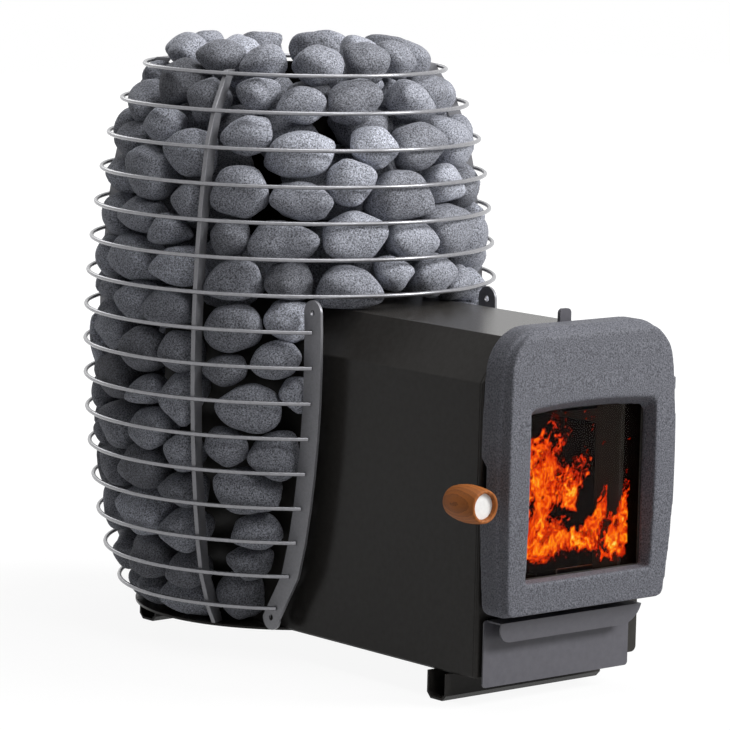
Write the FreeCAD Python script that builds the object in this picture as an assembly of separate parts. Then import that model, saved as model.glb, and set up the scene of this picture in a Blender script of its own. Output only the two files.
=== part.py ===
import FreeCAD, Part
import itertools
import math
import os
import random

from FreeCAD import Vector

# A wood-burning sauna heater. A barrel cage of wire rings holds stones round the
# back of a long steel firebox, and a glazed cast-iron door closes the front.
# Lengths are millimetres and angles are degrees. +Z is up and the door faces -Y.
# Every piece is drawn about the upright axis of the cage. A reach is a distance
# in front of that axis, and a height is measured from the floor.

# Feet and base plate.
foot_height = 35.0
foot_depth = 36.0
foot_length = 264.0
foot_wall = 3.0
foot_bend = 7.0
front_foot_reach = 481.0
rear_foot_inset = 52.0
base_thickness = 3.0
base_tongue_width = 240.0
base_tongue_margin = 4.0

# Barrel cage. The barrel is one long arc with a rounder shoulder at each end.
belly_radius = 275.0
belly_height = 395.0
belly_arc = 1370.0
mouth_radius = 200.8
mouth_shoulder = 108.0
sole_radius = 205.5
sole_shoulder = 102.0
ring_count = 16
ring_pitch = 46.0
lowest_ring = 68.0
ring_sides = 27
wire_size = 5.6
wire_sides = 4
bar_width = 20.0
bar_thickness = 6.0
bar_overhang = 4.0
bar_sides = (-11, -5, 5, 11)
end_plate_face = 151.0
end_plate_thickness = 4.0
end_plate_width = 33.0
end_plate_hole = 8.0
end_plate_gap = 1.5

# Firebox tunnel with bevelled upper edges.
box_width = 254.0
box_height = 423.5
box_bevel_width = 37.0
box_bevel_height = 55.5
box_wall = 5.0
box_front = 524.0
box_setback = 110.0
flue_bore = 115.0
flue_wall = 3.0
flue_throat = 109.0
flue_sides = 24
flue_proud = 2.0
socket_depth = 60.0

# Inside the firebox.
bed_height = 75.0
bed_thickness = 5.0
bed_rail = 12.0
grate_opening_width = 140.0
grate_opening_length = 250.0
grate_front = 400.0
grate_rim = 10.0
grate_rim_height = 6.0
grate_depth = 10.0
grate_slots = 8
grate_slot_width = 8.0
brick_thickness = 25.0
brick_height = 207.0
brick_front = 470.0
baffle_thickness = 6.0
baffle_front = 300.0

# Front plate with the raised seat that the door closes on.
plate_thickness = 6.0
plate_bend = 5.0
plate_ear_inset = 3.0
plate_ear_foot = 2.0
plate_ear_corner = 8.0
drawer_opening_width = 226.0
drawer_opening_height = 69.0
seat_side = 22.0
seat_border = 5.0
seat_foot = 19.0
seat_brow = 54.0
seat_wall = 8.0
seat_ledge = 6.0

# Air slide above the seat.
air_slots = 4
air_slot_width = 17.0
air_slot_height = 10.0
air_slot_pitch = 36.0
slide_length = 144.0
slide_height = 20.0
slide_thickness = 2.7
slide_low = 433.0
guide_length = 190.0
guide_gap = 76.0
guide_rim = 4.0
guide_lip = 4.0
lever_width = 19.0
lever_thickness = 5.0
lever_top = 492.0
lever_corner = 6.0

# Door casting.
door_width = 288.0
door_low = 121.0
door_high = 478.0
door_barrel = 9.0
door_top_corner = 58.0
door_low_corner = 14.0
door_depth = 51.0
door_gap = 16.0
door_step = 3.0
door_step_depth = 32.0
door_crown_arc = 2200.0
door_wall = 12.0
door_skirt = 11.0
door_bevel = 8.0
land_gap = 2.5
land_border = 3.0
window_depth = 24.0
window_foot = 45.0
window_brow = 104.5
window_side_slope = 3.5
window_low_slope = 3.0
window_top_slope = 13.5
window_arch = 5.0
window_corner = 6.0
side_lug_height = 18.0
side_lug_drop = 93.0
side_lug_depth = 14.0
side_lug_proud = 5.0

# Glazing and seal.
gasket_thickness = 2.0
glass_thickness = 4.0
glass_margin = 6.0
clip_thickness = 2.0
clip_width = 60.0
clip_overhang = 5.0
clip_screw_inset = 11.0
clip_screw = 5.0
clip_screw_head = 9.0
clip_screw_grip = 8.0
rope_width = 11.0
rope_thickness = 12.4

# Hinge on the right.
hinge_clear = 6.0
hinge_pin = 8.0
hinge_knuckle = 15.0
hinge_height = 20.0
hinge_foot = 59.0
hinge_brow = 94.0
hinge_pin_head = 3.0

# Latch and knob on the left.
latch_height = 271.0
latch_arm = 16.0
latch_thickness = 6.0
latch_bolt = 8.0
latch_bolt_head = 14.0
latch_bolt_head_height = 5.0
latch_bolt_grip = 10.0
notch_below = 21.0
notch_above = 48.0
notch_depth = 10.0
knob_clear = 46.0
knob_length = 60.0
knob_sides = 20
knob_belly = 47.0
knob_front = 41.0
knob_back = 37.0
knob_recess = 33.0
knob_recess_depth = 8.0
cap_thickness = 2.0
stud = 8.0
keeper_thickness = 6.0
keeper_height = 16.0
keeper_length = 41.0
keeper_clear = 14.0
keeper_finger = 10.0
keeper_lip = 4.4
keeper_lip_thickness = 5.0

# Ash drawer.
tray_width = 212.0
tray_length = 327.0
tray_height = 56.7
tray_wall = 2.0
front_width = 247.0
front_low = 27.0
front_high = 112.0
front_gap = 7.0
front_sheet = 2.0
front_corner = 5.0
lip_width = 238.0
lip_reach = 27.0
lip_fall = 27.0
lip_slope = 9.0
lip_corner = 24.0

# Stones.
stone_width = 75.0
stone_rise = 53.0
stone_depth = 62.0
stone_gap = 0.2
stone_cap = (57.0, 45.0, 46.0)
stone_spread = 0.17
stone_variety = 0.3
stone_sides = 4
settle_turns = 30
heap_rise = 39.0
heap_rows = 2
fill_scale = 1.9
stone_room = 14.0
stone_outlook = 2.2
stone_seed = 11

# Fits, how far a cut runs past the face that it opens, and how true a flat face is.
slip = 0.3
running = 0.05
past = 1.0
flatness = 1e-6

# Values that follow from the sizes above.
base_top = foot_height + base_thickness
box_half = box_width / 2
box_top = base_top + box_height
box_floor = base_top + box_wall
bed_low = box_floor + bed_height
bed_top = bed_low + bed_thickness
brick_top = bed_top + brick_height
plate_face = box_front + plate_thickness
skirt_back = plate_face + door_gap
door_face = skirt_back + door_depth
door_middle = (door_low + door_high) / 2
seat_width = door_width - 2 * seat_side
seat_low = door_low + seat_foot
seat_high = door_high - seat_brow
plate_half = max(box_half, seat_width / 2 + seat_border)
opening_inset = seat_wall + seat_ledge
land_inset = seat_wall + land_gap
land_width = seat_width - 2 * land_inset
window_width = land_width - 2 * (land_border + glass_margin)
window_low = door_low + window_foot
window_high = door_high - window_brow
step_reach = skirt_back + door_step_depth
channel_floor = door_face - door_wall
window_back = door_face - window_depth
glass_back = window_back - gasket_thickness - glass_thickness
seat_face = channel_floor - rope_thickness - 2 * slip
hinge_offset = door_width / 2 + hinge_clear
hinge_reach = plate_face + hinge_knuckle / 2 + 2 * slip
hinge_lows = (door_low + hinge_foot, door_high - hinge_brow)
plate_ear = hinge_offset - plate_ear_inset
latch_pivot = door_width / 2 - door_skirt / 2
latch_face = skirt_back + slip * 10
knob_offset = door_width / 2 + knob_clear
knob_reach = latch_face + slip
knob_tip = knob_reach + knob_length
ring_heights = [lowest_ring + ring_pitch * step for step in range(ring_count)]
open_rings = sum(height < box_top + wire_size for height in ring_heights)
flue_top = ring_heights[-1] + flue_proud
heap_top = ring_heights[-1] + heap_rise
wire_corner = wire_size / 2
wire_flat = wire_corner * math.cos(math.radians(180 / wire_sides))
chord = math.cos(math.radians(180 / ring_sides))

barrel_centre = belly_radius - belly_arc


def shoulder(start, end, end_radius):
    """The arc that runs on smoothly from the long one and ends at a radius: its span, size and centre."""
    angle = math.asin(start / belly_arc)
    radius = barrel_centre + belly_arc * math.cos(angle)
    inward = radius - end_radius
    onward = end - start
    lean = inward * math.cos(angle) - onward * math.sin(angle)
    arc = (inward ** 2 + onward ** 2) / (2 * lean)
    return start, end, arc, radius - arc * math.cos(angle), start - arc * math.sin(angle)


mouth_rise = ring_heights[-1] - belly_height
sole_drop = belly_height - base_top
upper_shoulder = shoulder(mouth_rise - mouth_shoulder, mouth_rise, mouth_radius)
lower_shoulder = shoulder(sole_drop - sole_shoulder, sole_drop, sole_radius)


def box(x0, x1, y0, y1, z0, z1):
    return Part.makeBox(x1 - x0, y1 - y0, z1 - z0, Vector(x0, y0, z0))


def wide_box(width, y0, y1, z0, z1):
    return box(-width / 2, width / 2, y0, y1, z0, z1)


def rod(radius, x, reach, z, length):
    """A rod lying front to back, from its front end at the given reach."""
    return Part.makeCylinder(radius, length, Vector(x, -reach, z), Vector(0, 1, 0))


def post(radius, x, y, z0, z1):
    return Part.makeCylinder(radius, z1 - z0, Vector(x, y, z0))


def prism(points, direction):
    wire = Part.makePolygon(points + [points[0]])
    return Part.Face(wire).extrude(direction)


def picked(solid, pick):
    """Edges that pass a test of the edge and its middle point."""
    edges = []
    for edge in solid.Edges:
        middle = edge.valueAt((edge.FirstParameter + edge.LastParameter) / 2)
        if pick(edge, middle):
            edges.append(edge)
    return edges


def rounded(solid, radius, pick):
    return solid.makeFillet(radius, picked(solid, pick))


def bevelled(solid, size, pick):
    return solid.makeChamfer(size, picked(solid, pick))


def lies_along(edge, axis):
    ends = edge.Vertexes
    if len(ends) < 2:
        return False
    run = ends[1].Point - ends[0].Point
    return run.Length > 0.01 and abs(abs(run.dot(axis)) - run.Length) < 1e-4


def polyhedron(faces):
    shell = Part.makeShell([Part.Face(Part.makePolygon(list(face) + [face[0]])) for face in faces])
    return Part.Solid(shell)


def cage_radius(height):
    """Radius of the barrel at a height, to the middle of the wire. Past its ends it runs on straight."""
    rise = abs(height - belly_height)
    start, end, arc, centre, level = upper_shoulder if height > belly_height else lower_shoulder
    if rise <= start:
        return barrel_centre + math.sqrt(belly_arc ** 2 - rise ** 2)
    along = min(rise, end) - level
    bulge = math.sqrt(arc ** 2 - along ** 2)
    return centre + bulge - max(rise - end, 0) * along / bulge


def inside_radius(height):
    """Radius just inside the flats of the rings."""
    return cage_radius(height) * chord - wire_flat


base_radius = inside_radius(base_top)
rear_foot_setback = base_radius - rear_foot_inset - foot_depth
cage_back = max(cage_radius(height) for height in ring_heights) + wire_corner
axis_shift = (knob_tip - cage_back) / 2


def save(name, *solids):
    """Write one piece, moved so that the origin is under the middle of the whole."""
    shape = solids[0].copy() if len(solids) == 1 else Part.makeCompound([solid.copy() for solid in solids])
    shape.translate(Vector(0, axis_shift, 0))
    shape.exportStep("parts/" + name + ".step")


# Feet are channels with bevelled bends, open at the top.
def foot(front):
    outer = wide_box(foot_length, front, front + foot_depth, 0, foot_height)
    along = Vector(1, 0, 0)
    outer = bevelled(outer, foot_bend, lambda edge, at: lies_along(edge, along) and at.z < 1)
    inner = wide_box(foot_length, front + foot_wall, front + foot_depth - foot_wall, foot_wall, foot_height)
    bend = foot_bend - foot_wall * (2 - math.sqrt(2))
    inner = bevelled(inner, bend, lambda edge, at: lies_along(edge, along) and at.z < foot_wall + 1)
    return outer.cut(inner)


def base_plate():
    disc = post(base_radius, 0, 0, foot_height, base_top)
    tongue = wide_box(base_tongue_width, base_tongue_margin - box_front, 0, foot_height, base_top)
    return disc.fuse(tongue).removeSplitter()


def turned(outline, sides, start):
    """A ring of flat facets: the outline of radius and height is carried round the upright axis."""
    sections = []
    for side in range(sides):
        turn = math.radians((side + start) * 360 / sides)
        sections.append([Vector(r * math.sin(turn), -r * math.cos(turn), z) for r, z in outline])
    faces = []
    for near, far in zip(sections, sections[1:] + sections[:1]):
        for corner in range(len(outline)):
            follow = (corner + 1) % len(outline)
            faces.append((near[corner], near[follow], far[follow], far[corner]))
    return polyhedron(faces)


# Each ring is wire bent to a polygon of flats, so that it bears flat on the bars.
def wire_ring(height):
    turns = [math.radians(360 * (corner + 0.5) / wire_sides + 180) for corner in range(wire_sides)]
    middle = cage_radius(height)
    outline = []
    for turn in turns:
        outline.append((middle + wire_corner * math.cos(turn), height + wire_corner * math.sin(turn)))
    return turned(outline, ring_sides, 0.5)


def open_ring(height):
    reach = belly_radius + wire_size
    gap = box(-end_plate_face, end_plate_face, -reach, 0, height - wire_size, height + wire_size)
    return wire_ring(height).cut(gap)


def segment(start, end):
    return Part.makeLine(start, end)


# Bars stand on edge on the base plate, with a short flat at every ring to weld it to.
def upright_bar(side):
    top = ring_heights[-1] + bar_overhang
    pad = wire_corner * math.sin(math.radians(180 / wire_sides))
    outer = [Vector(inside_radius(base_top), -bar_thickness / 2, base_top)]
    for height in ring_heights:
        radius = inside_radius(height)
        outer.append(Vector(radius, -bar_thickness / 2, height - pad))
        outer.append(Vector(radius, -bar_thickness / 2, height + pad))
    outer.append(Vector(inside_radius(top), -bar_thickness / 2, top))
    inner = [point - Vector(bar_width, 0, 0) for point in outer[::3] + outer[-1:]]
    bar = prism(outer + inner[::-1], Vector(0, bar_thickness, 0))
    bar.rotate(Vector(0, 0, 0), Vector(0, 0, 1), side * 360 / ring_sides - 90)
    return bar


def plate_line(height):
    """Front-to-back place where the cage meets the outer face of an end plate."""
    return -math.sqrt(cage_radius(height) ** 2 - end_plate_face ** 2)


end_plate_low = base_top + end_plate_width / 2
end_plate_high = ring_heights[open_rings] - wire_corner - end_plate_gap - end_plate_width / 2


def end_plate(side):
    half = end_plate_width / 2
    heights = [end_plate_low] + ring_heights[1:open_rings] + [end_plate_high]
    outer = [Vector(0, plate_line(height) - half, height) for height in heights]
    inner = [Vector(0, plate_line(height) + half, height) for height in heights]
    crest = Vector(0, plate_line(end_plate_high), end_plate_high + half)
    foot_point = Vector(0, plate_line(end_plate_low), base_top)
    edges = [segment(start, end) for start, end in zip(outer, outer[1:])]
    edges.append(Part.Arc(outer[-1], crest, inner[-1]).toShape())
    edges += [segment(end, start) for start, end in reversed(list(zip(inner, inner[1:])))]
    edges.append(Part.Arc(inner[0], foot_point, outer[0]).toShape())
    plate = Part.Face(Part.Wire(edges)).extrude(Vector(end_plate_thickness, 0, 0))
    for height in (end_plate_low, end_plate_high):
        start = Vector(-past, plate_line(height), height)
        hole = Part.makeCylinder(end_plate_hole / 2, end_plate_thickness + 2 * past, start, Vector(1, 0, 0))
        plate = plate.cut(hole)
    plate.translate(Vector(-end_plate_face, 0, 0))
    return plate if side < 0 else plate.mirror(Vector(0, 0, 0), Vector(1, 0, 0))


# The tunnel is one bevelled tube of plate.
def tunnel_face(inset, y):
    low = base_top + inset
    high = box_top - inset
    half = box_half - inset
    top_half = box_half - box_bevel_width
    slope = math.hypot(box_bevel_width, box_bevel_height)
    knee = box_top - box_bevel_height
    knee -= inset * (slope - box_bevel_height) / box_bevel_width
    top_half -= inset * (slope - box_bevel_width) / box_bevel_height
    right = [(half, low), (half, knee), (top_half, high)]
    points = [Vector(x, y, z) for x, z in right] + [Vector(-x, y, z) for x, z in reversed(right)]
    return Part.Face(Part.makePolygon(points + [points[0]]))


def firebox_shell():
    length = box_front + box_setback
    tube = tunnel_face(0, -box_front).extrude(Vector(0, length, 0))
    tube = tube.cut(tunnel_face(box_wall, -box_front).extrude(Vector(0, length, 0)))
    return tube.cut(post(flue_throat / 2, 0, 0, box_top - 2 * box_wall, box_top + past))


def firebox_back_wall():
    return tunnel_face(box_wall, box_setback - box_wall).extrude(Vector(0, box_wall, 0))


def flue_tube():
    """A folded tube with a round socket at its top. The pipe drops in as far as the throat's ledge."""
    ledge = flue_top - socket_depth
    outer = flue_bore / 2 + flue_wall
    throat = flue_throat / 2
    wall = [(throat, box_top), (outer, box_top), (outer, flue_top), (throat, flue_top)]
    return turned(wall, flue_sides, 0).cut(post(flue_bore / 2, 0, 0, ledge, flue_top))


inner_half = box_half - box_wall
inner_back = box_setback - box_wall


def bed_rail_bar(side):
    x0 = inner_half - bed_rail if side > 0 else -inner_half
    return box(x0, x0 + bed_rail, -box_front, inner_back, bed_low - bed_rail / 2, bed_low)


def bed_plate():
    plate = box(-inner_half, inner_half, -box_front, inner_back, bed_low, bed_top)
    back = grate_opening_length - grate_front
    return plate.cut(wide_box(grate_opening_width, -grate_front, back, bed_low, bed_top))


def grate():
    back = grate_opening_length - grate_front
    width = grate_opening_width - 2 * slip
    body = wide_box(width, slip - grate_front, back - slip, bed_top - grate_depth, bed_top)
    rim_width = grate_opening_width + 2 * grate_rim
    rim_top = bed_top + grate_rim_height
    body = body.fuse(wide_box(rim_width, -grate_front - grate_rim, back + grate_rim, bed_top, rim_top))
    pitch = grate_opening_width / grate_slots
    slots = []
    for slot in range(grate_slots):
        x = (slot - (grate_slots - 1) / 2) * pitch
        half = grate_slot_width / 2
        y0 = grate_rim - grate_front
        slots.append(box(x - half, x + half, y0, back - grate_rim, bed_top - grate_depth, rim_top))
    return body.cut(slots).removeSplitter()


def side_brick(side):
    x0 = inner_half - brick_thickness if side > 0 else -inner_half
    return box(x0, x0 + brick_thickness, -brick_front, inner_back, bed_top, brick_top)


def back_brick():
    width = 2 * (inner_half - brick_thickness)
    return wide_box(width, inner_back - brick_thickness, inner_back, bed_top, brick_top)


def baffle():
    return wide_box(2 * inner_half, -baffle_front, inner_back, brick_top, brick_top + baffle_thickness)


def front_plate():
    foot_z = base_top + plate_ear_foot
    knee = box_top - box_bevel_height
    ear_box = box(-plate_half, plate_ear, -plate_face, -box_front, foot_z, knee)
    depth = Vector(0, 1, 0)
    ear_box = rounded(ear_box, plate_ear_corner, lambda edge, at: lies_along(edge, depth) and at.x > past)
    plate = tunnel_face(0, -plate_face).extrude(Vector(0, plate_thickness, 0)).fuse(ear_box).removeSplitter()
    upright = Vector(0, 0, 1)
    plate = rounded(plate, plate_bend, lambda edge, at: lies_along(edge, upright)
                    and at.y < past - plate_face and at.x < past - plate_half)
    way_in = wide_box(seat_width - 2 * opening_inset, -plate_face, -box_front,
                      seat_low + opening_inset, seat_high - opening_inset)
    bore = tunnel_face(box_wall, -plate_face).extrude(Vector(0, plate_thickness, 0))
    holes = [way_in.common(bore)]
    drawer_high = box_floor + drawer_opening_height
    holes.append(wide_box(drawer_opening_width, -plate_face, -box_front, box_floor, drawer_high))
    holes += air_openings(-plate_face, -box_front)
    return plate.cut(holes).removeSplitter()


def air_openings(y0, y1):
    middle = slide_low + slide_height / 2
    holes = []
    for slot in range(air_slots):
        x = (slot - (air_slots - 1) / 2) * air_slot_pitch
        half = air_slot_width / 2
        rise = air_slot_height / 2
        holes.append(box(x - half, x + half, y0, y1, middle - rise, middle + rise))
    return holes


def frame(width, low, high, wall, y0, y1):
    """A rectangular frame round an opening."""
    outer = wide_box(width, y0, y1, low, high)
    return outer.cut(wide_box(width - 2 * wall, y0, y1, low + wall, high - wall))


def door_seat():
    return frame(seat_width, seat_low, seat_high, seat_wall, -seat_face, -plate_face)


# The air slide runs sideways between guides, and its lever stands up behind the door.
slide_back = plate_face + slip
slide_face = slide_back + slide_thickness


def air_slide():
    plate = wide_box(slide_length, -slide_face, -slide_back, slide_low, slide_low + slide_height)
    plate = plate.cut(air_openings(-slide_face, -slide_back))
    foot_z = slide_low + guide_lip + 2 * slip
    lever = wide_box(lever_width, -slide_face - lever_thickness, -slide_face, foot_z, lever_top)
    depth = Vector(0, 1, 0)
    lever = rounded(lever, lever_corner, lambda edge, at: lies_along(edge, depth) and at.z > lever_top - 1)
    return plate.fuse(lever)


def slide_guide(x0, x1, level, up):
    """A rebated strip that holds one long edge of the slide. The slide lies on its upper or lower side."""
    lip_back = slide_face + slip
    lip_front = lip_back + slide_thickness
    strip = box(x0, x1, -lip_front, -plate_face, level, level + guide_rim)
    z0 = level + guide_rim if up else level - guide_lip
    return strip.fuse(box(x0, x1, -lip_front, -lip_back, z0, z0 + guide_lip)).removeSplitter()


def slide_guides():
    low = slide_low - slip - guide_rim
    high = slide_low + slide_height + slip
    half = guide_length / 2
    bottom = slide_guide(-half, half, low, True)
    left = slide_guide(-half, -guide_gap / 2, high, False)
    right = slide_guide(guide_gap / 2, half, high, False)
    return [bottom, left, right]


# The door is a hollow casting: a crowned face, a sloped window reveal and a deep skirt.
def door_prism(inset, front, back):
    half = door_width / 2 - inset
    end_half = half - door_barrel
    low = door_low + inset
    high = door_high - inset
    corners = [Vector(x, -front, z) for x, z in
               ((-end_half, low), (end_half, low), (end_half, high), (-end_half, high))]
    edges = [segment(corners[0], corners[1])]
    edges.append(Part.Arc(corners[1], Vector(half, -front, door_middle), corners[2]).toShape())
    edges.append(segment(corners[2], corners[3]))
    edges.append(Part.Arc(corners[3], Vector(-half, -front, door_middle), corners[0]).toShape())
    solid = Part.Face(Part.Wire(edges)).extrude(Vector(0, front - back, 0))
    depth = Vector(0, 1, 0)
    top = door_top_corner - inset
    foot_corner = max(door_low_corner - inset, door_step)
    solid = rounded(solid, top, lambda edge, at: lies_along(edge, depth) and at.z > door_middle)
    return rounded(solid, foot_corner, lambda edge, at: lies_along(edge, depth) and at.z < low + 1)


def window_outline(depth):
    """The window at a depth behind the crown of the door."""
    share = (window_depth - depth) / window_depth
    half = window_width / 2 + window_side_slope * share
    low = window_low - window_low_slope * share
    high = window_high + window_top_slope * share
    y = depth - door_face
    eave = high - window_arch
    corner = eave - window_corner
    brow = half - window_corner
    right = [Vector(half, y, low), Vector(half, y, corner), Vector(brow, y, eave)]
    left = [Vector(-point.x, y, point.z) for point in reversed(right)]
    edges = [segment(start, end) for start, end in zip(right, right[1:])]
    edges.append(Part.Arc(right[-1], Vector(0, y, high), left[0]).toShape())
    edges += [segment(start, end) for start, end in zip(left, left[1:])]
    edges.append(segment(left[-1], right[0]))
    return Part.Wire(edges)


def window_cut():
    return Part.makeLoft([window_outline(-door_step), window_outline(window_depth)], True, True)


def crowned_front():
    block = door_prism(door_step, door_face, step_reach)
    centre = Vector(-door_width, door_crown_arc - door_face, door_middle)
    block = block.common(Part.makeCylinder(door_crown_arc, 2 * door_width, centre, Vector(1, 0, 0)))
    top = door_high - door_step
    crown_y = -math.sqrt(door_crown_arc ** 2 - (top - door_middle) ** 2) + door_crown_arc - door_face
    wedge = [Vector(-door_width, crown_y - door_bevel, top - 2 * door_bevel),
             Vector(-door_width, crown_y + door_bevel, top),
             Vector(-door_width, crown_y - door_bevel, top)]
    return block.cut(prism(wedge, Vector(2 * door_width, 0, 0)))


def hinge_ear(low):
    """A knuckle on the door with a web that runs into the skirt."""
    x = hinge_offset
    y = -hinge_reach
    radius = hinge_knuckle / 2
    root = door_width / 2 - door_skirt / 2
    ear = post(radius, x, y, low, low + hinge_height)
    web = [Vector(root, -skirt_back - radius, low), Vector(root, y, low),
           Vector(x, y + radius / 2, low), Vector(x + radius / 2, y - radius / 2, low),
           Vector(root + radius, -skirt_back - radius, low)]
    return ear.fuse(prism(web, Vector(0, 0, hinge_height)))


def latch_notch():
    half = door_width / 2
    low = latch_height - notch_below
    high = latch_height + notch_above
    back = past - skirt_back
    deep = -skirt_back - notch_depth
    x = -half - past
    side = [Vector(x, back, low), Vector(x, deep, low),
            Vector(x, deep, high - notch_depth), Vector(x, back, high + past)]
    return prism(side, Vector(door_skirt + 2 * past, 0, 0))


def clip_places():
    return [(0, window_low - clip_screw_inset, 1), (0, window_high + clip_screw_inset, -1)]


def door_casting():
    door = crowned_front().fuse(door_prism(0, step_reach, skirt_back))
    hollow = door_prism(door_skirt, channel_floor, skirt_back)
    land = wide_box(land_width, -channel_floor, -window_back, seat_low + land_inset, seat_high - land_inset)
    door = door.cut(hollow.cut(land))
    door = door.cut(window_cut())
    lug_x = door_width / 2 - door_barrel
    lug_y = -door_face + door_bevel
    lug_low = door_high - side_lug_drop
    lug_tip = door_width / 2 + side_lug_proud - door_step
    lug_high = lug_low + side_lug_height
    lug = box(lug_x - door_skirt, lug_tip, lug_y, lug_y + side_lug_depth, lug_low, lug_high)
    door = door.fuse([lug] + [hinge_ear(low) for low in hinge_lows])
    cuts = [latch_notch()]
    cuts += [post(hinge_pin / 2 + running, hinge_offset, -hinge_reach, low, low + hinge_height)
             for low in hinge_lows]
    bolt_front = skirt_back + notch_depth + latch_bolt_grip
    cuts.append(rod(latch_bolt / 2, -latch_pivot, bolt_front, latch_height, latch_bolt_grip))
    for x, z, way in clip_places():
        cuts.append(rod(clip_screw / 2, x, window_back + clip_screw_grip, z, clip_screw_grip))
    return door.cut(cuts).removeSplitter()


# Glazing sits behind the window and is held by clips.
def glazing(wall, front, thickness):
    width = window_width + 2 * glass_margin
    low = window_low - glass_margin
    high = window_high + glass_margin
    pane = wide_box(width, -front, thickness - front, low, high)
    if wall > 0:
        inner = wide_box(width - 2 * wall, -front, thickness - front, low + wall, high - wall)
        pane = pane.cut(inner)
    return pane


def clip(x, z, way):
    """A stepped clip, slotted for its screw: its foot is on the casting and its tongue on the glass."""
    half = clip_width / 2
    tongue = z + way * (clip_screw_inset + clip_overhang)
    heel = z - way * clip_screw_head / 2
    glass_edge = z + way * (clip_screw_inset - glass_margin - slip)
    z0, z1 = sorted((heel, tongue))
    foot_low, foot_high = sorted((heel, glass_edge))
    bar = box(x - half, x + half, -glass_back, clip_thickness - glass_back, z0, z1)
    bar = bar.fuse(box(x - half, x + half, -window_back, -glass_back, foot_low, foot_high))
    z0, z1 = sorted((heel, z + way * clip_screw / 2))
    half = clip_screw / 2 + slip
    slot = box(x - half, x + half, -window_back, clip_thickness - glass_back, z0, z1)
    return bar.removeSplitter().cut(slot)


def hexagon(u, v, size):
    """Corners of a hexagon in the plane, as wide as the given size."""
    turns = [math.radians(60 * corner) for corner in range(6)]
    return [Vector(u + size / 2 * math.cos(turn), v + size / 2 * math.sin(turn), 0) for turn in turns]


def hex_head(x, reach, z, size, height):
    points = [Vector(point.x, -reach, point.y) for point in hexagon(x, z, size)]
    return prism(points, Vector(0, height, 0))


def clip_screw_solid(x, z):
    back = glass_back - clip_thickness
    shank = rod(clip_screw / 2, x, window_back + clip_screw_grip, z, window_back + clip_screw_grip - back)
    return shank.fuse(hex_head(x, back, z, clip_screw_head, clip_thickness))


def rope_seal():
    middle = seat_wall / 2
    grow = rope_width / 2 - middle
    front = channel_floor - slip
    low = seat_low - grow
    high = seat_high + grow
    return frame(seat_width + 2 * grow, low, high, rope_width, -front, rope_thickness - front)


# Hinge brackets stand on the ear of the front plate, under the knuckles of the door.
def hinge_bracket(low):
    x = hinge_offset
    top = low - slip
    bottom = top - hinge_height
    radius = hinge_knuckle / 2
    knuckle = post(radius, x, -hinge_reach, bottom, top)
    heel = box(plate_ear - radius, x + radius, -hinge_reach, -plate_face, bottom, top)
    return knuckle.fuse(heel).removeSplitter().cut(post(hinge_pin / 2, x, -hinge_reach, bottom, top))


def hinge_pin_solid(low):
    x = hinge_offset
    bottom = low - slip - hinge_height
    top = low + hinge_height + slip
    pin = post(hinge_pin / 2, x, -hinge_reach, bottom, top)
    head = [Vector(point.x, point.y, top) for point in hexagon(x, -hinge_reach, hinge_knuckle)]
    return pin.fuse(prism(head, Vector(0, 0, hinge_pin_head)))


# The latch is a flat arm pivoted in the door's skirt, with a stud for the knob at its free end.
def latch_lever():
    half = latch_arm / 2
    cut = half * math.tan(math.radians(22.5))
    x0 = -knob_offset - half
    x1 = half - latch_pivot
    outline = [(x0, -cut), (x0 + half - cut, -half), (x1 - half + cut, -half), (x1, -cut)]
    outline += [(x, -z) for x, z in reversed(outline)]
    corners = [Vector(x, -latch_face, latch_height + z) for x, z in outline]
    arm = prism(corners, Vector(0, latch_thickness, 0))
    stud_tip = knob_tip - knob_recess_depth - slip
    knob_stud = rod(stud / 2, -knob_offset, stud_tip, latch_height, stud_tip - latch_face)
    pivot = rod(latch_bolt / 2 + running, -latch_pivot, latch_face, latch_height, latch_thickness)
    return arm.fuse(knob_stud).removeSplitter().cut(pivot)


def latch_pivot_bolt():
    front = skirt_back + notch_depth + latch_bolt_grip
    back = latch_face - latch_thickness - slip
    shank = rod(latch_bolt / 2, -latch_pivot, front, latch_height, front - back)
    return shank.fuse(hex_head(-latch_pivot, back, latch_height, latch_bolt_head, latch_bolt_head_height))


def latch_keeper():
    side = -plate_half
    end = -door_width / 2 - keeper_clear
    top = latch_height - latch_arm / 2 - slip
    low = top - keeper_height
    face = plate_face + keeper_thickness
    base = box(side - keeper_thickness, side, -face, keeper_length - face, low, top)
    arm = box(end, side, -face, -plate_face, low, top)
    lip_back = latch_face + 4 * slip
    tip = lip_back + keeper_lip_thickness
    finger = box(end, end + keeper_finger, -tip, -face, low + keeper_height / 2, top)
    lip = box(end, end + keeper_finger, -tip, -lip_back, top, top + keeper_lip)
    return base.fuse([arm, finger, lip]).removeSplitter()


def on_stud(solid):
    """Lay a piece drawn upright along the stud, pointing to the front."""
    solid.rotate(Vector(0, 0, 0), Vector(1, 0, 0), 90)
    solid.translate(Vector(-knob_offset, -knob_reach, latch_height))
    return solid


def knob():
    """A turned barrel on the stud, with a round recess in its front end."""
    bore = stud / 2 + slip
    nose = knob_front / 2
    tail = knob_back / 2
    belly = knob_belly / 2
    lead = knob_length / 12
    floor = knob_length - knob_recess_depth
    outline = [(bore, 0), (tail - lead, 0), (tail, lead), ((tail + 3 * belly) / 4, knob_length / 4)]
    outline += [(belly, knob_length / 2), ((nose + 3 * belly) / 4, 3 * knob_length / 4)]
    outline += [(nose, knob_length - lead / 2), (nose - lead / 2, knob_length)]
    outline += [(knob_recess / 2, knob_length), (knob_recess / 2, floor), (bore, floor)]
    return on_stud(turned(outline, knob_sides, 0))


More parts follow.
